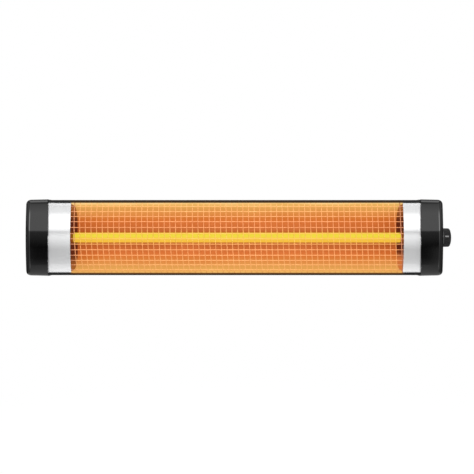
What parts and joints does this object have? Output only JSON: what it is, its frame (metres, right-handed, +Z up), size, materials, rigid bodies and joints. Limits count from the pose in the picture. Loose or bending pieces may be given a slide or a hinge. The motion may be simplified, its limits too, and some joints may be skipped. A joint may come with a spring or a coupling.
{
  "type": "wall-hung infrared heater",
  "caption": "Long wall-hung infrared heater: glowing quartz tube in a polished trough behind a bowed wire grille, silver fascia plates, black end caps, a side knob and a tilting wall bracket.",
  "frame": {"origin": "middle of the wall bracket's back face, on the wall", "axes": "+X along the heater towards the knob, +Y from the front into the wall, +Z up"},
  "size_m": [0.9558, 0.1627, 0.1716],
  "materials": {
    "housing_black": "extruded aluminium, satin black coating",
    "fascia_silver": "bright satin aluminium sheet",
    "grille_wire": "bright drawn wire",
    "reflector_bright": "polished reflector sheet",
    "end_plate_dark": "heat-darkened steel sheet",
    "quartz": "milky quartz, lit",
    "element": "oxidised resistance strip",
    "ceramic": "unglazed ceramic",
    "cap_black": "polished black moulding",
    "knob_black": "fluted black moulding",
    "gland_black": "black nylon",
    "moulded_grey": "heat-resistant moulding",
    "lead_sleeve": "silicone insulation",
    "brass": "plain brass",
    "zinc_steel": "zinc plated",
    "bracket_black": "black powder coat",
    "washer_dark": "dark fibre friction washer"
  },
  "bodies": {
    "bracket": {"wall_bracket": "bracket_black", "tilt_bolts": "zinc_steel", "tilt_nuts": "zinc_steel", "friction_washers": "washer_dark"},
    "heater": {"housing_shell": "housing_black", "fascia_left": "fascia_silver", "fascia_right": "fascia_silver", "grille_cross_wires": "grille_wire", "grille_long_wires": "grille_wire", "reflector": "reflector_bright", "reflector_ends": "end_plate_dark", "quartz_tube": "quartz", "heating_ribbon": "element", "tube_ceramics": "ceramic", "tube_retainers": "zinc_steel", "end_caps": "cap_black", "regulator_body": "moulded_grey", "regulator_terminals": "brass", "cable_gland": "gland_black", "terminal_block": "moulded_grey", "terminal_clamps": "brass", "inner_leads": "lead_sleeve", "earth_stud": "brass", "lead_clips": "moulded_grey", "hinge_bracket": "bracket_black"},
    "knob": {"control_knob": "knob_black", "regulator_shaft": "zinc_steel"}
  },
  "joints": [
    {"name": "tilt", "type": "hinge", "parent": "bracket", "child": "heater", "pos_m": [0, -0.03, 0], "axis": [1, 0, 0], "range_deg": [-15, 45]},
    {"name": "knob_turn", "type": "hinge", "parent": "heater", "child": "knob", "pos_m": [0.468, -0.112, 0], "axis": [1, 0, 0], "range_deg": [-135, 135]}
  ]
}
